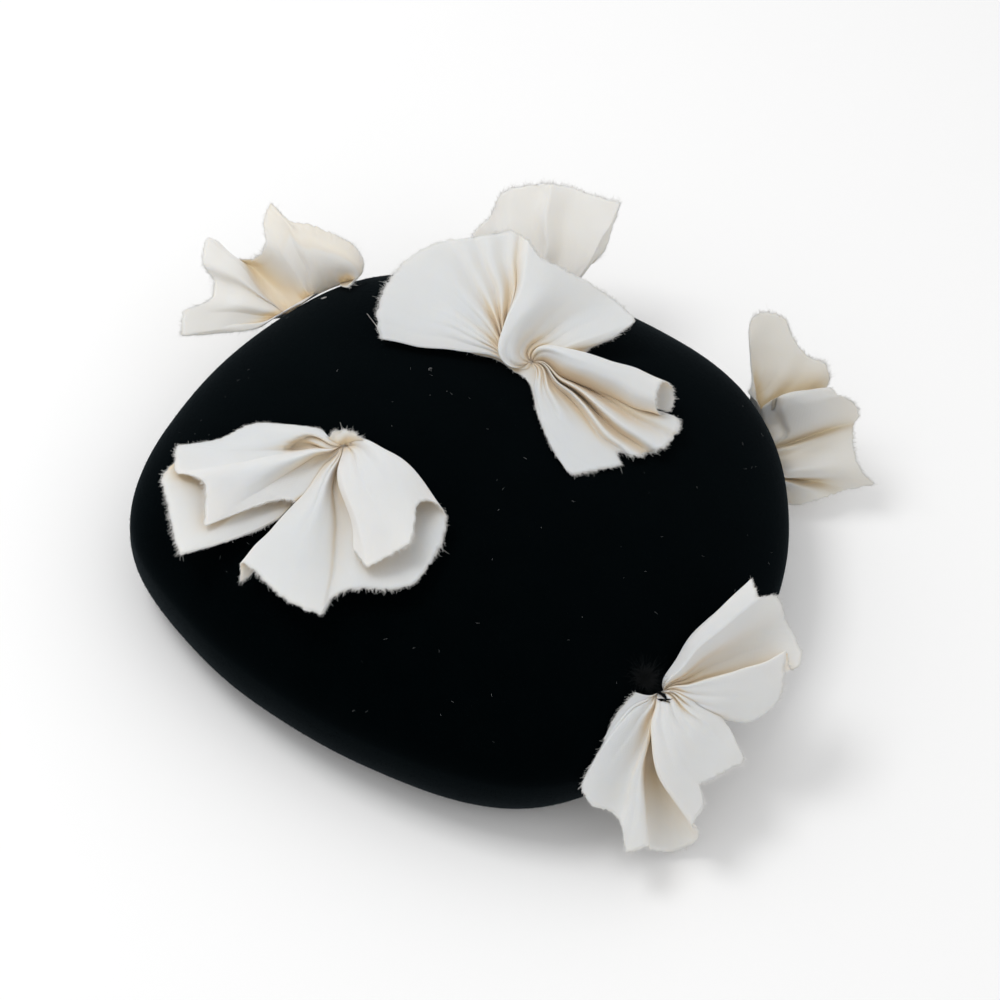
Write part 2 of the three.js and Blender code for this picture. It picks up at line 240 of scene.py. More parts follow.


# Velvet is nearly black face on, and its colour is painted pale only where it turns away from the view, a
# painted sheen.
def velvetPaint(name, look):
    paint = Paint(name)
    place = paint.place()
    brushed = paint.stretched(place, 1.0, 1.0, look["brushed"])
    pile = paint.noise(brushed, look["pileScale"], 4.0, 0.65)
    patches = paint.noise(place, look["patchScale"], 3.0)
    colour = paint.colours(pile * 0.5 + patches * 0.5, look["dark"], look["light"])
    turned = paint.node("ShaderNodeLayerWeight", {}, {"Blend": 0.5}, "Facing")
    # painted sheen: the colour turns to the edge colour towards a grazing view
    colour = paint.colours(turned ** look["paintedSheenPower"], colour, look["edge"])
    relief = pile * look["pileShare"] + patches * look["patchShare"]
    return paint.dress(
        Base_Color=colour, Normal=paint.bump(relief, look["relief"], look["reliefDepth"]), Roughness=1.0,
        Specular_IOR_Level=0.0, Sheen_Weight=look["sheen"], Sheen_Roughness=look["sheenSpread"],
        Sheen_Tint=look["tint"],
    )


velvetLook = {
    "dark": (0.0001, 0.0006, 0.0008, 1.0), "light": (0.0009, 0.0019, 0.0023, 1.0),
    # the edge colour is the painted sheen
    "edge": (0.0068, 0.0094, 0.0109, 1.0), "paintedSheenPower": 1.5, "brushed": 2.4,
    "pileScale": 420.0, "patchScale": 60.0, "pileShare": 0.7, "patchShare": 0.6,
    "relief": 0.35, "reliefDepth": 0.0012, "sheen": 0.045, "sheenSpread": 0.3,
    "tint": (0.85, 1.0, 1.1, 1.0),
}
velvet = velvetPaint("velvet", velvetLook)


# The stiff base inside the crown is a matt felt.
def shellPaint(name, look):
    paint = Paint(name)
    fibres = paint.noise(paint.place(), look["scale"], 3.0, 0.7)
    colour = paint.colours(fibres, look["dark"], look["light"])
    bump = paint.bump(fibres, look["relief"], look["reliefDepth"])
    return paint.dress(Base_Color=colour, Normal=bump, Roughness=0.95, Specular_IOR_Level=0.1)


shellLook = {
    "dark": (0.004, 0.005, 0.006, 1.0), "light": (0.02, 0.021, 0.023, 1.0), "scale": 700.0,
    "relief": 0.4, "reliefDepth": 0.0005,
}
shellInside = shellPaint("shellInside", shellLook)
print("materials made")


# Meshes from arrays of points in millimetres

def addObject(name, data):
    made = bpy.data.objects.new(name, data)
    bpy.context.scene.collection.objects.link(made)
    return made


def meshPiece(name, points, faces, material, flat=None, paintedShadeAndGlow=None):
    mesh = bpy.data.meshes.new(name)
    mesh.from_pydata((np.asarray(points) * mm).tolist(), [], [tuple(face) for face in faces])
    mesh.polygons.foreach_set("use_smooth", np.ones(len(mesh.polygons), bool))
    if flat is not None:
        corners = np.zeros(len(mesh.loops), np.int32)
        mesh.loops.foreach_get("vertex_index", corners)
        places = (flat[corners] * mm).astype(np.float32).ravel()
        mesh.uv_layers.new(name="flat").data.foreach_set("uv", places)
    if paintedShadeAndGlow is not None:
        mesh.attributes.new("paintedShadeAndGlow", "FLOAT", "POINT").data.foreach_set("value", paintedShadeAndGlow.astype(np.float32))
    mesh.materials.append(material)
    mesh.update()
    return addObject(name, mesh)


# Quads over a grid whose points are numbered row by row.
def gridFaces(rows, columns, closed=False, first=0):
    i, j = np.meshgrid(np.arange(rows if closed else rows - 1), np.arange(columns - 1), indexing="ij")
    below = (i + 1) % rows
    corners = (i * columns + j, i * columns + j + 1, below * columns + j + 1, below * columns + j)
    return first + np.stack(corners, axis=-1).reshape(-1, 4)


# The crown

crownShape = {
    "front": 152, "back": 161, "left": 165, "right": 130,     # reach in plan
    "frontPower": 1.54, "backPower": 1.81,                     # 1 is a diamond, 2 an ellipse
    "blend": 0.5, "rounding": 0.1,
    "top": 80, "widest": 36, "tuck": 22, "wall": 3,
    "around": 256, "overDome": 64, "underEdge": 22, "firstRing": 0.012,
    "unevenness": 0.35, "unevenSize": 34, "unevenFrom": 12, "unevenMiddle": 20, "noiseShift": 40, "seed": 5,
}


def planReach(turn):
    shape = crownShape
    x, y = np.cos(turn), np.sin(turn)
    towardsBack = smooth(y, -shape["blend"], shape["blend"])
    towardsLeft = smooth(x, -shape["blend"], shape["blend"])
    length = mixed(shape["front"], shape["back"], towardsBack)
    power = mixed(shape["frontPower"], shape["backPower"], towardsBack)
    width = mixed(shape["right"], shape["left"], towardsLeft)
    sideways = np.hypot(x, shape["rounding"]) / width
    endways = np.hypot(y, shape["rounding"]) / length
    return (sideways ** power + endways ** power) ** (-1 / power)


def tuckInset(depth):
    return crownShape["tuck"] * (1 - np.sqrt(np.maximum(1 - depth * depth, 0)))


# Above 0 outside the crown and below 0 inside it, with no jump at the widest level.
def crownField(points):
    x, y, z = np.moveaxis(points, -1, 0)
    reach = planReach(np.arctan2(y, x))
    distance = np.hypot(x, y)
    widest = crownShape["widest"]
    over = np.hypot(distance / reach, np.maximum(z - widest, 0) / (crownShape["top"] - widest)) - 1
    under = distance / (reach - tuckInset(np.clip((widest - z) / widest, 0, 1))) - 1
    return np.where(z >= widest, over, under)


def awayFromCrown(points):
    step = 0.05
    slopes = []
    for axis in np.eye(3):
        slopes.append((crownField(points + axis * step) - crownField(points - axis * step)) / (2 * step))
    slope = np.stack(slopes, axis=-1)
    size = np.maximum(np.linalg.norm(slope, axis=-1), 1e-9)
    return crownField(points) / size, slope / size[..., None]


def settleOnCrown(points):
    points = np.array(points, float)
    for _ in range(8):
        away, outward = awayFromCrown(points)
        points = points - away[..., None] * outward
    return points


# Rows run round the crown and columns from the top to the rim.
def crownFace(inset):
    shape = crownShape
    turn = np.linspace(0, 2 * math.pi, shape["around"], endpoint=False)[:, None]
    share = np.sin(np.linspace(shape["firstRing"], 1, shape["overDome"]) * math.pi / 2)
    depth = np.sin(np.linspace(0, 1, shape["underEdge"])[1:] * math.pi / 2)
    high = shape["widest"] + (shape["top"] - inset - shape["widest"]) * np.sqrt(1 - share ** 2)
    height = np.concatenate([high, shape["widest"] * (1 - depth)])
    inwards = np.concatenate([inset * share, inset + tuckInset(depth)])
    share = np.concatenate([share, np.ones(len(depth))])
    reach = planReach(turn) * share - inwards
    return np.stack([reach * np.cos(turn), reach * np.sin(turn), height + 0 * turn], axis=-1)


# Slow swells over the crown, which fade out towards its rim
def uneven(points):
    shape = crownShape
    x, y, z = np.moveaxis(points, -1, 0)
    swell = ripple(x, y + z, shape["unevenSize"], shape["noiseShift"], shape["seed"])
    fade = smooth(z, 0, shape["unevenFrom"])[..., None]
    outward = unit(points - np.array([0, 0, shape["unevenMiddle"]]))
    return points + outward * (swell * shape["unevenness"])[..., None] * fade


def crownPiece():
    outer = uneven(crownFace(0))
    inner = crownFace(crownShape["wall"])
    rows, columns = outer.shape[:2]
    points = np.concatenate([outer.reshape(-1, 3), inner.reshape(-1, 3)])
    count = rows * columns
    outside = gridFaces(rows, columns, True)
    inside = gridFaces(rows, columns, True, count)[:, ::-1]
    last = np.arange(rows) * columns + columns - 1
    onward = np.roll(last, -1)
    rim = np.stack([onward, last, last + count, onward + count], axis=-1)
    faces = [list(face) for face in np.concatenate([outside, inside, rim])]
    middle = np.arange(rows) * columns
    faces.append(list(middle))
    faces.append(list(middle[::-1] + count))
    piece = meshPiece("crown_shell", points + hatMiddle, faces, velvet)
    piece.data.materials.append(shellInside)
    indices = np.zeros(len(faces), np.int32)
    indices[len(outside):len(outside) + len(inside)] = 1
    indices[-1] = 1
    piece.data.polygons.foreach_set("material_index", indices)
    return piece


# Where the middle of the crown lies in the frame, in millimetres
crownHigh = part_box("crown")[1]
allRound = np.linspace(0, 2 * math.pi, 720)
planX, planY = planReach(allRound) * np.cos(allRound), planReach(allRound) * np.sin(allRound)
hatMiddle = np.array([crownHigh.x / mm - planX.max(), crownHigh.y / mm - planY.max(), 0.0])

crown = crownPiece()
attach(crown, "root")
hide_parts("crown")
print("crown made at", hatMiddle.round(1))


# The bows

# The pattern plane that the folds are drawn on is square to this line of sight.
sight = {"azimuth": 64.1, "elevation": 51.1, "roll": 11.8}


def patternAxes():
    azimuth, elevation, roll = (math.radians(angle) for angle in sight.values())
    level = math.cos(elevation)
    lift = np.array([math.sin(azimuth) * level, -math.cos(azimuth) * level, math.sin(elevation)])
    sideways = np.array([math.cos(azimuth), math.sin(azimuth), 0])
    across = sideways * math.cos(roll) + np.cross(lift, sideways) * math.sin(roll)
    return across, np.cross(lift, across), lift


sightX, sightY, sightZ = patternAxes()

# One row for each fold or corner of a piece, seen from the pinch: where its edge lies, how
# far the cloth between bulges out and sideways, how far its rim turns out, and whether the
# edge has a corner there. Ridge and curl do the same as arch and bend close to the pinch. A
# loop has an open mouth, where the cloth jumps up at a share of the way from the pinch.
# Values left off a row are 0.
foldColumns = "across up lift arch bend ridge corner curl lip mouth mouthAt".split()

clothCut = {
    "foldSteps": 9, "spacing": 0.8, "foldRound": 1.0,
    "rings": 48, "crowding": 1.35, "firstRing": 0.002,
    "thickness": 0.45, "bulgeSkew": 0.75, "lipStart": 0.7, "mouthWidth": 0.025, "straightShare": 0.2,
    "clearance": 1.4, "softness": 2.2, "laterSoftness": 0.3, "longestPush": 6, "lowest": 1.6,
    "pinch": [[-1.5, 0], [1.5, 0]], "pinchSpread": 20, "pinchPower": 1.5, "twist": 0.4, "twistReach": 7,
    "knotReach": 3.2, "knotHeight": 2.0, "puckerSpacing": 15, "puckerSway": 0.4, "puckerTwist": 0.9,
    "gatherAt": 0.2, "pleatDepth": 0.9, "pleatSpacing": 11, "pleatSway": 0.35, "pleatFade": (0.45, 0.95),
    "swellDepth": 1.4, "swellSpacing": 20, "swellSway": 0.5, "endFade": 0.03,
    "creaseDepth": 0.6, "creaseSize": 11, "creaseRise": (0.1, 0.5), "noiseShift": 50,
    "wander": 1.6, "wanderSize": 17, "wanderRise": (2, 22), "wanderFade": (0.75, 1),
    "ragged": 0.5, "raggedSpacing": 1.3, "raggedStart": 0.8, "lightThrough": 16, "lightEdge": 0.04,
}


# The folds joined by a smooth curve, which turns sharply at a corner.
def curveThroughFolds(bow):
    folds = np.array([row + [0] * (len(foldColumns) - len(row)) for row in bow["folds"]], float)
    corner = folds[:, foldColumns.index("corner")] > 0
    closed = bow.get("closed")
    count = len(folds)
    around = np.arange(count)
    after = (around + 1) % count if closed else np.minimum(around + 1, count - 1)
    before = (around - 1) % count if closed else np.maximum(around - 1, 0)
    tangent = (folds[after] - folds[before]) / 2
    tangent[corner] = 0
    steps = clothCut["foldSteps"]
    t = (np.arange(steps) / steps)[None, :, None]
    spans = around if closed else around[:-1]
    start, end = folds[spans][:, None], folds[after[spans]][:, None]
    leaving, arriving = tangent[spans][:, None], tangent[after[spans]][:, None]
    curve = start * (2 * t ** 3 - 3 * t ** 2 + 1) + leaving * (t ** 3 - 2 * t ** 2 + t)
    curve = curve + end * (3 * t ** 2 - 2 * t ** 3) + arriving * (t ** 3 - t ** 2)
    curve = curve.reshape(-1, len(foldColumns))
    return curve if closed else np.concatenate([curve, folds[-1:]])


def summed(steps):
    return np.concatenate([[0], np.cumsum(steps)])


def lengthAlong(curve):
    return summed(np.linalg.norm(np.diff(curve[:, :3], axis=0), axis=1))


# The same curve in even steps, with each fold as round as the cloth makes it.
def evenCurve(curve, closed, cut):
    if closed:
        curve = np.concatenate([curve, curve[:1]])
    length = lengthAlong(curve)
    places = np.linspace(0, length[-1], int(length[-1] / cut["spacing"]), endpoint=not closed)
    even = pickedAlong(places, length, curve)
    reach = int(3 * cut["foldRound"] / cut["spacing"]) + 1
    weights = np.exp(-0.5 * (np.arange(-reach, reach + 1) * cut["spacing"] / cut["foldRound"]) ** 2)
    weights = weights / weights.sum()
    beyond = {"mode": "wrap"} if closed else {"mode": "reflect", "reflect_type": "odd"}
    padded = np.pad(even, ((reach, reach), (0, 0)), **beyond)
    rounded = np.stack([np.convolve(column, weights, mode="valid") for column in padded.T], axis=-1)
    return rounded, places


# How wide the cloth is up to each ray. Where the edge runs straight in or out it adds little.
def widthAlong(curve, closed):
    ends = np.concatenate([curve, curve[:1]]) if closed else curve
    steps = np.diff(ends[:, :2], axis=0)
    outward = unit((ends[1:, :2] + ends[:-1, :2]) / 2)
    sideways = np.abs(steps[:, 0] * outward[:, 1] - steps[:, 1] * outward[:, 0])
    straight = clothCut["straightShare"] * np.linalg.norm(steps, axis=1)
    width = summed(np.hypot(sideways, straight))
    return width[:len(curve)], width[-1]


# A bow is gathered along a short line on the crown: where each ray leaves it, from the seat.
# A line with a depth lies that much farther from the viewer.
def pinchStarts(bow, cut, seat, across, up):
    line = np.array(bow.get("pinch", cut["pinch"]), float)
    middle, half = line.mean(axis=0), (line[1] - line[0]) / 2
    along = unit(half)
    place = np.clip((across * along[0] + up * along[1]) / cut["pinchSpread"], -1, 1)
    spots = middle + half * place
    start = seat + spots[:, :1] * sightX + spots[:, 1:] * sightY
    return settleOnCrown(start - sightZ * bow.get("pinchDepth", 0)) - seat


def gridNormals(points, closed):
    if closed:
        around = np.roll(points, -1, axis=0) - np.roll(points, 1, axis=0)
    else:
        around = np.gradient(points, axis=0)
    return unit(np.cross(np.gradient(points, axis=1), around))


# Lifts cloth softly off the crown, so that what lies under another fold stays under it.
def clearOfCrown(points, clearance):
    softness = clothCut["softness"]
    for _ in range(3):
        away, outward = awayFromCrown(points)
        spare = away - clearance
        wanted = clearance + (spare + np.sqrt(spare ** 2 + softness ** 2 * np.minimum(clearance, 1))) / 2
        points = points + outward * np.clip(wanted - away, 0, clothCut["longestPush"])[..., None]
        softness = clothCut["laterSoftness"]
    points[..., 2] = np.maximum(points[..., 2], clothCut["lowest"])
    return points


def swirled(x, y, angle):
    return x * np.cos(angle) - y * np.sin(angle), x * np.sin(angle) + y * np.cos(angle)


# The middle surface of a bow: rays from the pinch out to the edge, in millimetres from the middle of the
# crown, with each point's place on the flat cloth and how far light shows through, which is painted into
# the cloth's colour as a glow.
def bowSurface(bow):
    cut = {**clothCut, **bow.get("cut", {})}
    closed = bow.get("closed")
    curve, edge = evenCurve(curveThroughFolds(bow), closed, cut)
    seed, seat = bow["seed"], settleOnCrown(bow["seat"])
    across, up, lift, arch, bend, ridge, _, curl, lip, mouth, mouthAt = (
        curve[:, [i]] for i in range(len(foldColumns))
    )
    share = np.linspace(cut["firstRing"] ** (1 / cut["crowding"]), 1, cut["rings"])[None, :]
    share = share ** cut["crowding"]
    width, allWidth = widthAlong(curve, closed)
    run = (width / allWidth)[:, None]
    reach = np.maximum(np.hypot(across, up), 1)
    # the folds of the table
    raggedness = waver(edge / cut["raggedSpacing"], seed) * cut["ragged"]
    ragged = 1 + raggedness[:, None] / reach * smooth(share, cut["raggedStart"], 1)
    bulge = np.sin(math.pi * share ** cut["bulgeSkew"])
    gather = share / cut["gatherAt"] * np.exp(1 - share / cut["gatherAt"])
    sideways = bend * bulge + curl * gather
    x = across * share * ragged - sideways * up / reach
    y = up * share * ragged + sideways * across / reach
    swirl = cut["twist"] * np.exp(-(reach * share / cut["twistReach"]) ** 2)
    x, y = swirled(x, y, swirl)
    wander = cut["wander"] * smooth(np.hypot(x, y), *cut["wanderRise"])
    wander = wander * (1 - smooth(share, *cut["wanderFade"]))
    places = x, y, cut["wanderSize"], cut["noiseShift"]
    x = x + wander * ripple(*places, seed + 4)
    y = y + wander * ripple(*places, seed + 5)
    height = lift * share + arch * bulge + lip * smooth(share, cut["lipStart"], 1) ** 2 + ridge * gather
    height = height + bow["lean"][0] * x + bow["lean"][1] * y
    jump = smooth(share, mouthAt - cut["mouthWidth"], mouthAt + cut["mouthWidth"])
    justPastEdge = 1.0001
    height = height + mouth * jump * (1 - smooth(share, mouthAt, justPastEdge))
    # puckers stand up round the knot and dip into it
    knot = reach * share / cut["knotReach"] * np.exp(1 - reach * share / cut["knotReach"])
    puckers = max(int(allWidth / cut["puckerSpacing"]), 5)
    turn = run * puckers + cut["puckerSway"] * slowWaver(run, puckers, 2, seed + 9)
    turn = turn + cut["puckerTwist"] * share
    height = height + knot * cut["knotHeight"] * (0.3 + 0.8 * humps(turn))
    points = seat + x[..., None] * sightX + y[..., None] * sightY
    points = points + height[..., None] * sightZ
    starts = pinchStarts(bow, cut, seat, across, up)[:, None]
    points = points + starts * ((1 - share) ** cut["pinchPower"])[..., None]
    # pleats gather near the pinch, swells run out to the edge, and creases lie anywhere;
    # 2.4 keeps the pleats level with the cloth
    period = max(int(allWidth / cut["pleatSpacing"]), 4)
    wide = max(int(allWidth / cut["swellSpacing"]), 3)
    ends = 1 if closed else smooth(run, 0, cut["endFade"]) * smooth(1 - run, 0, cut["endFade"])
    strength = 0.55 + 0.45 * slowWaver(run, period, 2, seed + 6)
    place = run * period + cut["pleatSway"] * slowWaver(run, period, 3, seed + 1)
    pleats = (2.4 * humps(place) - 1) * strength * gather * (1 - smooth(share, *cut["pleatFade"]))
    swells = waver(run * wide + cut["swellSway"] * waver(share * 2, seed + 8), seed + 2, wide) * share
    creases = ripple(x, y, cut["creaseSize"], cut["noiseShift"], seed + 3)
    creases = creases * smooth(share, *cut["creaseRise"])
    relief = (pleats * cut["pleatDepth"] + swells * cut["swellDepth"] + creases * cut["creaseDepth"]) * ends
    points = points + relief[..., None] * sightZ
    clearance = cut["clearance"] * (0.35 + 0.65 * smooth(share, 0, 0.15)) + 0 * run
    points = clearOfCrown(points, clearance)
    # Painted light: where the rim turns back, light showing through it is painted into the colour as a warm
    # glow.
    backlit = smooth(share, cut["lipStart"] - cut["lightEdge"], cut["lipStart"] + cut["lightEdge"])
    backlit = np.clip(-lip / cut["lightThrough"], 0, 1) * backlit
    return points, np.stack([across * share, up * share], axis=-1), backlit


# Directions spread over half a ball, closer together towards its top
def spreadDirections(count):
    place = (np.arange(count) + 0.5) / count
    high, low, turn = np.sqrt(1 - place), np.sqrt(place), np.arange(count) * math.pi * (3 - math.sqrt(5))
    return np.stack([low * np.cos(turn), low * np.sin(turn), high], axis=-1)


def blurred(values):
    padded = np.pad(values, 1, mode="edge")
    rows = padded[:-2] + 2 * padded[1:-1] + padded[2:]
    return (rows[:, :-2] + 2 * rows[:, 1:-1] + rows[:, 2:]) / 16


shadeLook = {"reach": 22, "rays": 22, "start": 0.7, "every": 2, "gain": 2.3, "power": 1.3}


# How deep each point lies among the folds, from 0 in the open to 1, by short rays that meet cloth.
def foldShade(points, outward, tree):
    look = shadeLook
    every = look["every"]
    spots, facing = points[::every, ::every], outward[::every, ::every]
    level = np.where(np.abs(facing[..., 2:]) < 0.9, [0.0, 0.0, 1.0], [1.0, 0.0, 0.0])
    first = unit(np.cross(level, facing))
    second = np.cross(facing, first)
    starts = (spots + facing * look["start"]).reshape(-1, 3).tolist()
    met = np.zeros(len(starts))
    for x, y, z in spreadDirections(look["rays"]):
        ways = (first * x + second * y + facing * z).reshape(-1, 3).tolist()
        for index, (start, way) in enumerate(zip(starts, ways)):
            distance = tree.ray_cast(start, way, look["reach"])[3]
            if distance is not None:
                met[index] += 1 - distance / look["reach"]
    coarse = blurred((met / look["rays"]).reshape(spots.shape[:2]))
    rows, columns = np.arange(points.shape[0]) / every, np.arange(points.shape[1]) / every
    wider = pickedAlong(columns, np.arange(coarse.shape[1]), coarse.T)
    full = pickedAlong(rows, np.arange(coarse.shape[0]), wider.T)
    return np.clip(full * look["gain"], 0, 1) ** look["power"]


# A thin wall on each side of the middle surface, closed along all its edges.
def bowCloth(name, bow, points, flat, backlit, tree):
    closed = bow.get("closed")
    rows, columns = points.shape[:2]
    outward = gridNormals(points, closed)
    half = outward * clothCut["thickness"] / 2
    numbers = np.arange(rows * columns).reshape(rows, columns)
    if closed:
        loops = [numbers[:, -1], numbers[::-1, 0]]
    else:
        loops = [np.concatenate([numbers[0], numbers[1:, -1], numbers[-1, -2::-1], numbers[-2:0:-1, 0]])]
    over = gridFaces(rows, columns, closed)
    under = over[:, ::-1] + numbers.size
    faces = [over, under]
    for loop in loops:
        onward = np.roll(loop, -1)
        faces.append(np.stack([onward, loop, loop + numbers.size, onward + numbers.size], axis=-1))
    wall = np.concatenate([(points + half).reshape(-1, 3), (points - half).reshape(-1, 3)])
    # Painted shade and painted glow: how deep each side lies among the folds, and the light through a rim,
    # become its colour attribute.
    shades = [foldShade(points, facing, tree) for facing in (outward, -outward)]
    paintedShadeAndGlow = np.concatenate([np.maximum(shade, backlit).reshape(-1) for shade in shades])
    piece = meshPiece(
        name + "_cloth", wall + hatMiddle, np.concatenate(faces), bow.get("paint", cotton),
        np.tile(flat.reshape(-1, 2), (2, 1)), paintedShadeAndGlow
    )
    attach(piece, "root")
    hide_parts(name)
    return piece


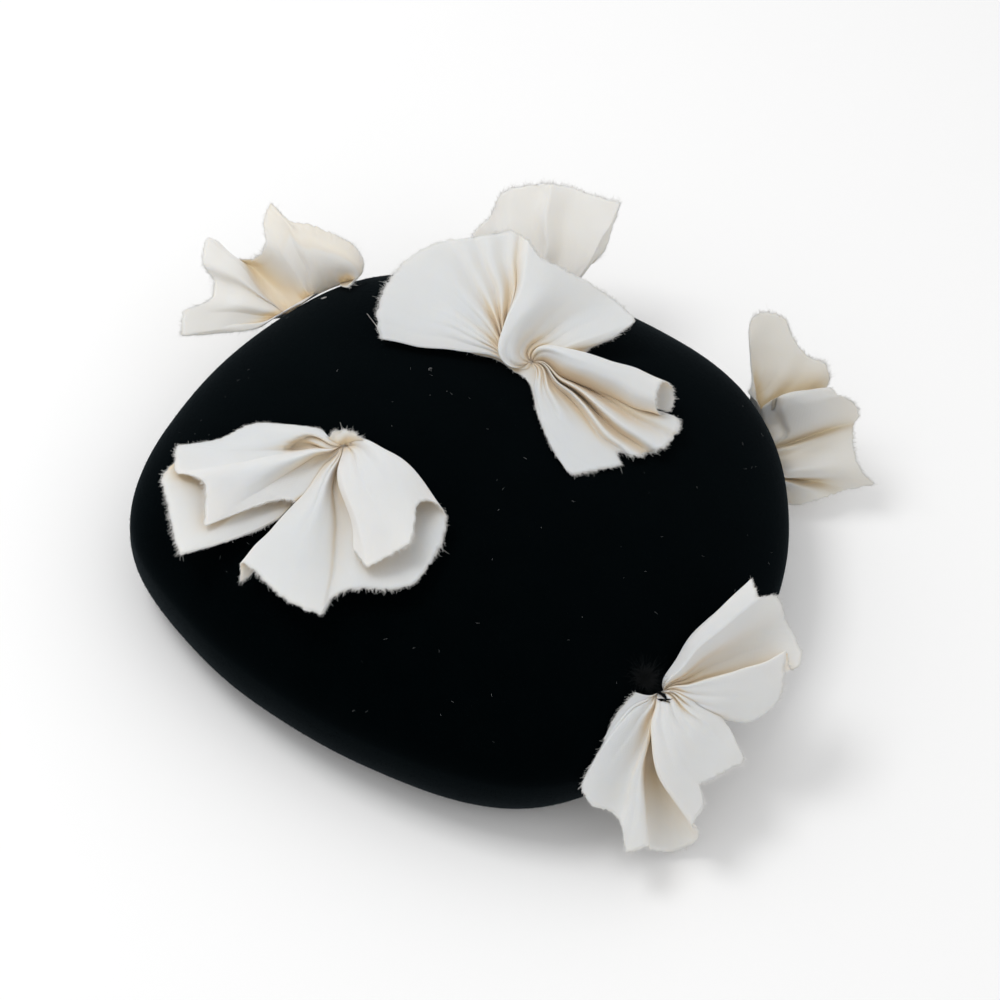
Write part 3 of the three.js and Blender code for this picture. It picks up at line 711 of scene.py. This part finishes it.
bows = {
    "bow_crest": {
        "seat": [-37, 43, 76], "lean": [-0.15, -0.45], "closed": True, "flat": 116, "seed": 11,
        "cut": {"knotHeight": 3.2, "puckerSpacing": 13, "twist": 0.9, "twistReach": 7.5, "foldRound": 1.3},
        "folds": [
            [26, 3, -3, 0, 0, -1], [39, 12, 2, 4], [50, 20, 1, 6, 0, 1, 1, 1], [38, 31, -2, 2, 0, 2, 0, 3],
            [27, 38, 3, 3, 0, 3, 0, 5], [13, 45, 10, 9, 0, 6, 0, 9], [6, 48, 11, 9, 0, 6, 1, 12],
            [1, 57, 9, 8, 0, 7, 1, 13], [-3, 60, 1, 2, 0, 0, 1, 11], [-6, 62, 3, 3, 0, 2, 1, 9],
            [-11, 61, 1, 1, 0, -1, 0, 8], [-18, 60, 3, 3, 0, 3, 0, 7], [-24, 59, 1, 2, 0, 0, 0, 6],
            [-31, 58, 3, 3, 0, 3, 0, 5], [-38, 57, 2, 2, 0, 0, 0, 4], [-48, 53, 4, 5, 0, 3, 0, 3],
            [-58, 45, 3, 5, 0, 1, 0, 2], [-65, 35, 3, 6, 0, 3, 0, 1], [-69, 23, 2, 6, 0, 3],
            [-68, 10, 0, 5, 0, 3, 1], [-53, 10, 1, 4, 0, 2], [-38, 8, 1, 3, 0, 1], [-26, 3, 1, 2],
            [-14, 0, 2, 1], [-8, -5, 1, 1], [-1, -15, 1, 1, 0, 1], [1, -30, 2, 3, 0, 3],
            [7, -47, 6, 5, 0, 3], [15, -57, 11, 4, 0, 2, 1], [27, -53, 12, 6, 0, 4],
            [40, -48, 15, 5, 0, 1, 1], [37, -42, 13, 4, 0, 2, 1], [41, -42, 14, 5, 0, 5],
            [47, -43, 17, 8, 0, 9], [52, -42, 12, 2], [57, -40, 18, 8, 0, 9], [61, -38, 14, 5, 0, 6],
            [64, -35, 9, 1, 0, -1], [67, -31, 12, 3, 0, 2], [67, -26, 10, 2], [63, -24, 7, 0, -1, -4],
            [58, -24, 13, 4, -2, 0, 1], [56, -18, 22, 9, 3, 7, 0, 2], [58, -11, 21, 9, 5, 7, 0, 3],
            [61, -9, 16, 7, 5, 5, 0, 4], [65, -12, 9, 3, 4, 1, 0, 4], [65, -18, 6, 1, 2, -1, 0, 3],
            [62, -23, 6, 0, 1, -2, 0, 2], [50, -15, 2, 0, 0, -2, 0, 1],
        ],
    },
    "bow_front": {
        "seat": [-5, -54, 77], "lean": [0, -0.73], "flat": 119, "seed": 23,
        "cut": {"knotHeight": 1.6, "pleatDepth": 0.6, "pleatSpacing": 15},
        "folds": [
            [12, -5, 6, 1], [9, 2, 12, 0], [4, 6, 14, 0, 0, 0, 1], [-3, 7, 9, 1], [-8, 3, 3, 1],
            [-9, 7, 5, 1, 0, 2], [-19, 9, 5, 3, 0, 0, 0, 2, 0, 3, 0.55],
            [-40, 10, 5, 4, 0, -1, 0, 2, 0, 5, 0.47], [-55, 3, 5, 4, 0, -4, 0, 0, 0, 6, 0.42],
            [-74, 0, 4, 6, 3, -7, 1, -1, 0, 5, 0.34], [-73, -12, 9, 7, 0, -3, 1, -1, 0, 0, 0.3],
            [-60, -16, 13, 9, 0, 5, 0, -1], [-59, -35, 10, 5, -3, 0, 1], [-31, -24, 8, 3, -2],
            [-21, -23, 5, 1], [-66, -6, 0, 2, 0, 0, 0, 0, 2], [-79, -14, 0, 3, 0, 0, 1, 0, 5],
            [-74, -31, 2, 2, 0, 0, 0, 0, 5], [-69, -47, 5, 2, -4, 0, 1, 0, 4], [-48, -41, 2, -1, -4],
            [-29, -33, -1, 0, -2], [-20, -25, -1, 0], [-36, -52, 0, 0], [-43, -59, 2, 0, 0, 0, 1],
            [-43, -50, 7, 4, 0, 0, 1], [-37, -53, 10, 6], [-26, -63, 12, 8], [-16, -69, 11, 5],
            [-7, -72, 7, 1, 0, 0, 1, -2], [-4, -66, 4, -1, 0, -1, 0, -2], [2, -62, 5, 1, 0, -1, 0, -1],
            [11, -61, 7, 4], [30, -60, 4, 3], [42, -44, 3, 4, 3], [45, -32, 6, 8, 7], [41, -25, 13, 12, 9],
            [33, -25, 19, 13, 8], [31, -38, 19, 11, 3], [28, -43, 18, 10, 1, 1],
            [12, -52, 13, 9, 0, 3, 1, -3], [6, -45, 10, 7, 0, 1, 0, -4],
        ],
    },
    "bow_side": {
        "seat": [135, 51, 54], "lean": [-0.32, -0.02], "flat": 99, "seed": 37, "pinch": [[-2, -1], [3, 1]],
        "stitch": {
            "count": 8, "length": 7.5, "turn": -0.3, "offset": (3.5, -1.6), "thread": blackThread,
            "spread": 0.42, "height": 1.1, "width": 0.75,
        },
        "folds": [
            [-10, 1, 4, 1, 0, 0, 1], [-20, -10, 3, 2, -2], [-27, -22, 3, 3, -4],
            [-34, -39, 6, 4, -5, 0, 1], [-30, -46, 8, 4, -2], [-19, -51, 6, 3], [-16, -58, 9, 4],
            [-15, -68, 10, 5, 0, 0, 1], [-6, -65, 12, 6, -3, -6], [-3, -68, -3, -2, -3],
            [6, -70, -8, -4, -3], [16, -66, -5, -4, -5], [18, -60, 3, 2, -8], [14, -56, 13, 9, -9],
            [19, -48, 15, 10, -6], [17, -39, 14, 9, -3, 0, 1], [38, -30, 8, 6, 0, 0, 1], [30, -14, 6, 5],
            [20, -4, 5, 4], [9, -3, 3, 2], [7, -2, 2, 1], [29, -12, 3, 4, 0, 0, 1], [41, -13, 5, 5],
            [52, -5, 8, 5], [55, 4, 10, 5], [56, 18, 11, 5, -1], [59, 9, 5, 1], [64, 12, 3, 0, 0, 0, 1],
            [64, 17, 2, 0], [57, 31, 0, 0], [53, 41, 7, 4], [44, 41, 12, 7, 2, 0, 1],
            [41, 49, 5, 4, 3, 0, 1], [39, 44, 1, 1, 5],
        ],
    },
    "bow_far": {
        "seat": [-110, -32, 53], "lean": [0, 0], "flat": 67, "seed": 41,
        "pinch": [[-19, -7], [26, 8]], "pinchDepth": 12,
        "cut": {
            "knotHeight": 0.8, "pleatDepth": 0.6, "pleatSpacing": 8, "gatherAt": 0.07, "swellDepth": 0.5,
            "lipStart": 0.62, "pinchSpread": 50,
        },
        "folds": [
            [12, 4, 4, 1], [14, 7, 2, 2, -2], [19, 16, 2, 5, -3, 0, 0, 0, -3],
            [12, 26, 4, 8, 0, 0, 0, 0, -6], [-6, 34, 5, 8, 0, 0, 0, 0, -6],
            [-16, 36, 5, 8, 0, 0, 0, 0, -6], [-25, 45, 4, 7, 0, 0, 1, 0, -6],
            [-28, 34, 3, 5, 0, 0, 0, 0, -3], [-27, 26, 0, 3], [-32, 19, -8, -3], [-45, 20, -12, -6],
            [-49, 26, -6, -3, 5], [-54, 28, 3, 1, 4, 0, 1], [-56, 16, 7, 4], [-51, 8, 3, 3],
            [-52, -1, 6, 5], [-65, -6, 6, 5, 0, 0, 1], [-66, -18, 5, 5, 0, 0, 1], [-31, -15, 3, 3],
            [-22, -12, 1, 1], [-9, -6, 0, 0],
        ],
    },
    "bow_crest_back": {
        "seat": [-104, 74, 49], "lean": [0, 0], "closed": True, "flat": 73, "seed": 53,
        "pinch": [[-16, 0], [12, 0]], "cut": {"knotHeight": 0.5, "pleatDepth": 0.4},
        "folds": [
            [-33, 20, -6, 0], [-30, 27, -4, 1, 2], [-26, 31, -3, 2, 3], [-23, 34, -1, 2, 4],
            [-19, 43, 0, 2, 4], [-13, 46, 2, 3, 4], [0, 48, 2, 3, 2], [5, 48, 5, 5, 1, 2, 1],
            [14, 47, 1, 2], [22, 44, 1, 2, -1], [38, 39, 3, 3, -4, 0, 1], [34, 27, 2, 3, -4],
            [30, 16, 0, 2, -3], [20, 7, -4, 0], [14, 6, -40, 3], [2, 14, -52, 4], [-16, 12, -44, 2],
            [-28, 6, -22, 0],
        ],
    },
    "bow_back": {
        # its cotton is painted darker, a painted shade
        "seat": [-4, 158, 36], "lean": [-0.2, 0.3], "flat": 82, "seed": 67, "paint": paintedShadeCotton,
        "pinch": [[-12, 14], [4, -22]], "pinchDepth": 10,
        "cut": {"knotHeight": 0.8, "pleatDepth": 0.4, "pinchSpread": 38, "wander": 0.9},
        "folds": [
            [-11, 19, -5, 0], [-9, 26, -3, 0], [-10, 35, -2, 1], [-11, 45, -1, 2], [-11, 52, 0, 2],
            [-7, 57, 1, 2], [0, 57, 1, 3], [6, 54, 2, 3], [9, 47, 2, 3], [13, 41, 2, 3], [18, 37, 1, 2],
            [24, 35, 1, 2], [27, 31, 0, 1], [28, 26, -3, -2, 0, -4], [25, 19, -6, -4, 0, -8, 0, -4],
            [27, 23, 9, 6, 11, -7, 0, 0, 0, 8, 0.39], [31, 19, 13, 8, 9, -9, 0, 0, 0, 11, 0.33],
            [37, 17, 11, 6, 5, -7, 0, 0, 0, 9, 0.28], [42, 12, 5, 2, 2, -1, 0, 0, 0, 3, 0.25],
            [41, 7, -1, -2, 0, -1], [40, 4, 1, 0, 0, 2], [40, -3, 5, 1, 0, -2], [41, -10, 8, 4, 0, -2],
            [44, -16, 8, 5, 0, 3], [51, -22, 6, 3, 0, 1, 1], [37, -25, 1, -2, 0, -3],
            [25, -29, 4, 2, 0, 1], [13, -32, 1, -1], [5, -30, -9, -1],
        ],
    },
}


# Loose yarns that stand out of the raw edges, and longer ones that have come away.
frayLook = {
    "spacing": 0.075, "jitter": 0.3, "tuftSpacing": 11, "shortest": 0.4, "longest": 1.9, "rare": 1.8,
    "rareShare": 0.012, "lean": 0.35, "curl": 0.55, "curlShare": 0.6, "rooted": 0.3, "steps": 4,
    "width": 0.18, "thinnest": 0.6, "thickest": 1.1,
}
yarnLook = {"turns": (0, 2.094, 4.189), "tip": 0.35, "anyWay": np.array([0.31, 0.52, 0.79])}


# A thin three-sided yarn along each row of points, narrower at its tip
def yarnMesh(name, paths, width, material):
    paths = np.asarray(paths)
    count, steps = paths.shape[:2]
    along = unit(np.gradient(paths, axis=1))
    side = unit(np.cross(along, yarnLook["anyWay"]))
    other = np.cross(along, side)
    taper = np.linspace(1, yarnLook["tip"], steps)[None, :, None] * np.asarray(width).reshape(-1, 1, 1) / 2
    corners = []
    for turn in yarnLook["turns"]:
        corners.append(paths + (side * math.cos(turn) + other * math.sin(turn)) * taper)
    points = np.stack(corners, axis=2)
    first = (np.arange(count) * steps * 3)[:, None, None]
    step, corner = np.arange(steps - 1)[None, :, None] * 3, np.arange(3)[None, None, :]
    a, b = first + step + corner, first + step + (corner + 1) % 3
    faces = np.stack([a, b, b + 3, a + 3], axis=-1).reshape(-1, 4)
    return meshPiece(name, points.reshape(-1, 3) + hatMiddle, faces, material)


def frayPiece(name, bow, points):
    look = frayLook
    random = np.random.RandomState(bow["seed"] + 100)
    rim, inner = points[:, -1], points[:, -4]
    length = lengthAlong(rim)
    spots = np.arange(0, length[-1], look["spacing"])
    spots = spots + random.uniform(-look["jitter"], look["jitter"], len(spots))
    spots = np.clip(spots, 0, length[-1])
    start = pickedAlong(spots, length, rim)
    out = unit(start - pickedAlong(spots, length, inner))
    heavy = 0.25 + 0.75 * np.clip(waver(spots / look["tuftSpacing"], bow["seed"] + 101) + 0.4, 0, 1)
    reach = mixed(look["shortest"], look["longest"], random.uniform(0, 1, len(spots)) * heavy)
    reach = np.where(random.uniform(0, 1, len(spots)) < look["rareShare"], reach * look["rare"], reach)
    lean = random.normal(0, look["lean"], (len(spots), 3))
    curl = random.normal(0, look["curl"], (len(spots), 3))
    run = np.linspace(0, 1, look["steps"])[None, :, None]
    reach = reach[:, None, None]
    paths = start[:, None] + (out + lean)[:, None] * run * reach
    paths = paths + curl[:, None] * run ** 2 * reach * look["curlShare"]
    paths = paths - out[:, None] * look["rooted"]
    width = random.uniform(look["thinnest"], look["thickest"], len(spots)) * look["width"]
    piece = yarnMesh(name + "_fray", paths, width, creamThread)
    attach(piece, "root")
    return piece


# Thread over each pinch, where the bow is sewn down
stitchLook = {
    "count": 3, "length": 4.5, "height": 0.6, "sink": 2.0, "width": 0.4, "steps": 9, "turn": 0.6,
    "sway": 0.2, "spread": 0.7, "offset": (0, 0), "thread": creamThread, "lookFrom": 60, "lookFor": 90,
}


# The point of the crown that lies so far across and up from a bow's seat
def besideSeat(bow, offset):
    seat = settleOnCrown(bow["seat"])
    return settleOnCrown(seat + sightX * offset[0] + sightY * offset[1])


# How far towards the viewer the cloth lies over each point
def clothHeight(points, tree):
    heights = []
    for point in points:
        above = point + sightZ * stitchLook["lookFrom"]
        met = tree.ray_cast(above.tolist(), (-sightZ).tolist(), stitchLook["lookFor"])[0]
        heights.append(float(np.array(met if met else point) @ sightZ))
    return np.array(heights)


def stitchPiece(name, bow, tree):
    look = {**stitchLook, **bow.get("stitch", {})}
    random = np.random.RandomState(bow["seed"] + 200)
    middle = besideSeat(bow, look["offset"])
    outward = awayFromCrown(middle)[1]
    run = np.linspace(-1, 1, look["steps"])[:, None]
    paths = []
    for index in range(look["count"]):
        turn = look["turn"] + random.normal(0, look["sway"])
        along = sightX * math.cos(turn) + sightY * math.sin(turn)
        along = unit(along - outward * (along @ outward))
        beside = np.cross(outward, along) * (index - (look["count"] - 1) / 2) * look["spread"]
        path = middle + beside + along * run * look["length"] / 2
        path = path - sightZ * (path @ sightZ - clothHeight(path, tree).mean())[..., None]
        paths.append(path + sightZ * (look["height"] - look["sink"] * run ** 4))
    piece = yarnMesh(name + "_stitches", paths, look["width"], look["thread"])
    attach(piece, "root")
    return piece


# All the cloth in one tree, to find what shades a fold and where a stitch lies
surfaces = {name: bowSurface(bow) for name, bow in bows.items()}
corners, squares = [], []
for name, surface in surfaces.items():
    points = surface[0]
    squares.extend(gridFaces(*points.shape[:2], bows[name].get("closed"), len(corners)).tolist())
    corners.extend(points.reshape(-1, 3).tolist())
allCloth = BVHTree.FromPolygons(corners, squares)

for name, bow in bows.items():
    points, flat, backlit = surfaces[name]
    cloth = bowCloth(name, bow, points, flat, backlit, allCloth)
    fray = frayPiece(name, bow, points)
    stitches = stitchPiece(name, bow, allCloth)
    side = bow["flat"] * mm
    print(name, "made")


# A fuzzy black tuft on the velvet beside the side bow
tuftLook = {
    "offset": (-6.9, 5.6), "fibres": 1500, "radius": 6.8, "shortest": 0.15, "width": 0.09, "steps": 6,
    "seed": 77, "rise": 0.15, "curl": 0.9, "curlShare": 0.5, "twist": 0.8, "twistShare": 0.15,
    "twistTurn": 5, "rootSpread": 0.8, "rootHeight": 0.4, "clearance": 0.2,
}


def tuftPiece():
    look = tuftLook
    random = np.random.RandomState(look["seed"])
    middle = besideSeat(bows["bow_side"], look["offset"])
    outward = awayFromCrown(middle)[1]
    count = look["fibres"]
    way = unit(random.normal(0, 1, (count, 3)))
    way = way + outward * (np.maximum(0, -way @ outward) * 2 + look["rise"])[:, None]
    curl = random.normal(0, look["curl"], (count, 3))
    twist = random.normal(0, look["twist"], (count, 3))
    length = look["radius"] * random.uniform(look["shortest"], 1, count)
    run = np.linspace(0, 1, look["steps"])[None, :, None]
    paths = way[:, None] * run + curl[:, None] * run ** 2 * look["curlShare"]
    paths = paths + twist[:, None] * np.sin(run * look["twistTurn"]) * look["twistShare"]
    start = middle + random.normal(0, look["rootSpread"], (count, 1, 3)) + outward * look["rootHeight"]
    paths = start + paths * length[:, None, None]
    below = np.minimum(awayFromCrown(paths)[0] - look["clearance"], 0)
    paths = paths - outward * below[..., None]
    piece = yarnMesh("side_tuft", paths, np.full(count, look["width"]), blackFuzz)
    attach(piece, "root")


# A cream thread loose from a corner of the crest bow
looseLook = {
    "corner": (-68, 10), "tip": (-73, 22), "lift": 3, "width": 0.4, "steps": 10,
    "sway": 0.8, "swayTurn": 4.2, "arch": 1.2,
}


def loosePiece():
    look = looseLook
    seat = settleOnCrown(bows["bow_crest"]["seat"])
    rim = surfaces["bow_crest"][0][:, -1]
    wanted = np.array(look["corner"])
    offsets = np.stack([(rim - seat) @ sightX, (rim - seat) @ sightY], axis=-1)
    start = rim[np.argmin(np.linalg.norm(offsets - wanted, axis=-1))]
    tip = seat + sightX * look["tip"][0] + sightY * look["tip"][1]
    tip = tip + sightZ * ((start - tip) @ sightZ + look["lift"])
    run = np.linspace(0, 1, look["steps"])[:, None]
    path = mixed(start, tip, run) + sightX * np.sin(run * look["swayTurn"]) * look["sway"]
    path = path + sightZ * np.sin(run * math.pi) * look["arch"]
    piece = yarnMesh("crest_loose_thread", [path], [look["width"]], creamThread)
    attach(piece, "root")


tuftPiece()
loosePiece()
print("tuft and loose thread made")


# The pile of the velvet: short fibres that roughen its outline
pileLook = {
    "fibres": 60000, "shortest": 0.35, "longest": 0.75, "width": 0.12, "seed": 3, "lean": 0.35,
    "rooted": 0.1, "underShare": 0.35, "lowest": 1.97, "crowding": 0.6,
}
deepest = 0.98


# Points on the crown: along runs from 0 at the top to 1 at the widest level, and on to 2 at the rim.
def overCrown(turn, along):
    shape = crownShape
    share = np.minimum(along, 1)
    depth = np.clip(along - 1, 0, deepest)
    high = shape["widest"] + (shape["top"] - shape["widest"]) * np.sqrt(1 - share ** 2)
    height = np.where(along > 1, shape["widest"] * (1 - depth), high)
    reach = planReach(turn) * share - np.where(along > 1, tuckInset(depth), 0)
    points = np.stack([reach * np.cos(turn), reach * np.sin(turn), height], axis=-1)
    return uneven(points)


def pilePiece():
    look = pileLook
    random = np.random.RandomState(look["seed"])
    count = look["fibres"]
    turn = random.uniform(0, 2 * math.pi, count)
    under = random.uniform(0, 1, count) < look["underShare"]
    low = random.uniform(1, look["lowest"], count)
    high = np.sqrt(random.uniform(0, 1, count)) ** look["crowding"]
    root = overCrown(turn, np.where(under, low, high))
    outward = awayFromCrown(root)[1]
    sideways = unit(np.cross(outward, random.normal(0, 1, root.shape)))
    length = random.uniform(look["shortest"], look["longest"], count)[:, None]
    tip = root + unit(outward + random.normal(0, look["lean"], root.shape)) * length
    root = root - outward * look["rooted"]
    half = sideways * look["width"] / 2
    points = np.stack([root - half, root + half, tip], axis=1).reshape(-1, 3)
    faces = np.arange(len(points)).reshape(-1, 3)
    return meshPiece("crown_pile", points + hatMiddle, faces, velvet)


pile = pilePiece()
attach(pile, "root")


# Short pale fibres scattered over the pile, and one larger speck of cotton
lintLook = {
    "fibres": 120, "shortest": 0.6, "longest": 1.8, "width": 0.09, "thinnest": 0.5, "height": 0.8,
    "bend": 0.5, "steps": 4, "seed": 9, "speck": (-46.0, -18.0), "speckSize": 0.35, "speckFibres": 14,
}


def lintPiece():
    look = lintLook
    random = np.random.RandomState(look["seed"])
    count = look["fibres"]
    root = overCrown(random.uniform(0, 2 * math.pi, count), np.sqrt(random.uniform(0, 1, count)))
    outward = awayFromCrown(root)[1]
    speck = besideSeat(bows["bow_crest"], look["speck"])
    root = np.concatenate([root, speck + random.normal(0, look["speckSize"], (look["speckFibres"], 3))])
    outward = np.concatenate([outward, np.tile(awayFromCrown(speck)[1], (look["speckFibres"], 1))])
    count = len(root)
    along = unit(np.cross(outward, random.normal(0, 1, (count, 3))))
    beside = np.cross(outward, along)
    run = np.linspace(-0.5, 0.5, look["steps"])[None, :, None]
    length = random.uniform(look["shortest"], look["longest"], count)[:, None, None]
    bend = random.normal(0, look["bend"], count)[:, None, None]
    curved = along[:, None] * run + beside[:, None] * bend * run ** 2
    paths = root[:, None] + outward[:, None] * look["height"] + curved * length
    width = random.uniform(look["thinnest"], 1, count) * look["width"]
    return yarnMesh("crown_lint", paths, width, lintThread)


lint = lintPiece()
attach(lint, "root")
print("pile and lint made")


# The studio, with lights and clipping in metres

studio = {
    "target": (0, 0, 40), "distance": 1500, "focalPixels": 3300, "targetAt": (452.5, 488.5),
    "picture": 1000, "sensor": 36, "clipEnd": 20, "lightDistance": 1.4, "keyStrength": 6.4,
    "keySize": 0.5, "fillStrength": 0.8, "fillSize": 1.6, "worldStrength": 0.78,
    "floor": (0.96, 0.96, 0.96, 1.0), "floorHalf": 4000, "floorDrop": 0.2,
}


def directionOf(across, up, lift):
    return unit(sightX * across + sightY * up + sightZ * lift)


def addCamera():
    target = np.array(studio["target"], float)
    place = (target + hatMiddle + sightZ * studio["distance"]) * mm
    offAcross = (studio["picture"] / 2 - studio["targetAt"][0]) / studio["focalPixels"]
    offUp = (studio["targetAt"][1] - studio["picture"] / 2) / studio["focalPixels"]
    back = directionOf(-offAcross, -offUp, 1)
    right = unit(sightX - back * (sightX @ back))
    camera = addObject("camera", bpy.data.cameras.new("camera"))
    turned = Matrix([list(right), list(np.cross(back, right)), list(back)]).transposed().to_4x4()
    camera.matrix_world = Matrix.Translation(Vector(place)) @ turned
    camera.data.sensor_width = studio["sensor"]
    camera.data.lens = studio["sensor"] * studio["focalPixels"] / studio["picture"]
    camera.data.clip_end = studio["clipEnd"]
    bpy.context.scene.camera = camera


def addAreaLight(name, direction, strength, size):
    light = bpy.data.lights.new(name, "AREA")
    light.energy, light.size = strength, size
    holder = addObject(name, light)
    middle = Vector((np.array(studio["target"], float) + hatMiddle) * mm)
    holder.location = middle + Vector(direction) * studio["lightDistance"]
    holder.rotation_euler = Vector(direction).to_track_quat("Z", "Y").to_euler()


def addFloor():
    paint = Paint("floor")
    paint.dress(Base_Color=studio["floor"], Roughness=0.9, Specular_IOR_Level=0.1)
    half, level = studio["floorHalf"], -studio["floorDrop"]
    corners = [(-half, -half, level), (half, -half, level), (half, half, level), (-half, half, level)]
    floor = meshPiece("floor", corners, [(0, 1, 2, 3)], paint.material)


addCamera()
addFloor()
addAreaLight("key", directionOf(-0.45, 0.75, 0.75), studio["keyStrength"], studio["keySize"])
addAreaLight("fill", directionOf(0.8, -0.1, 0.8), studio["fillStrength"], studio["fillSize"])
world = bpy.data.worlds.new("studio")
world.use_nodes = True
sky = world.node_tree.nodes["Background"].inputs
sky["Color"].default_value = (1, 1, 1, 1)
sky["Strength"].default_value = studio["worldStrength"]
bpy.context.scene.world = world
bpy.context.scene.view_settings.view_transform = "Standard"
print("studio made")
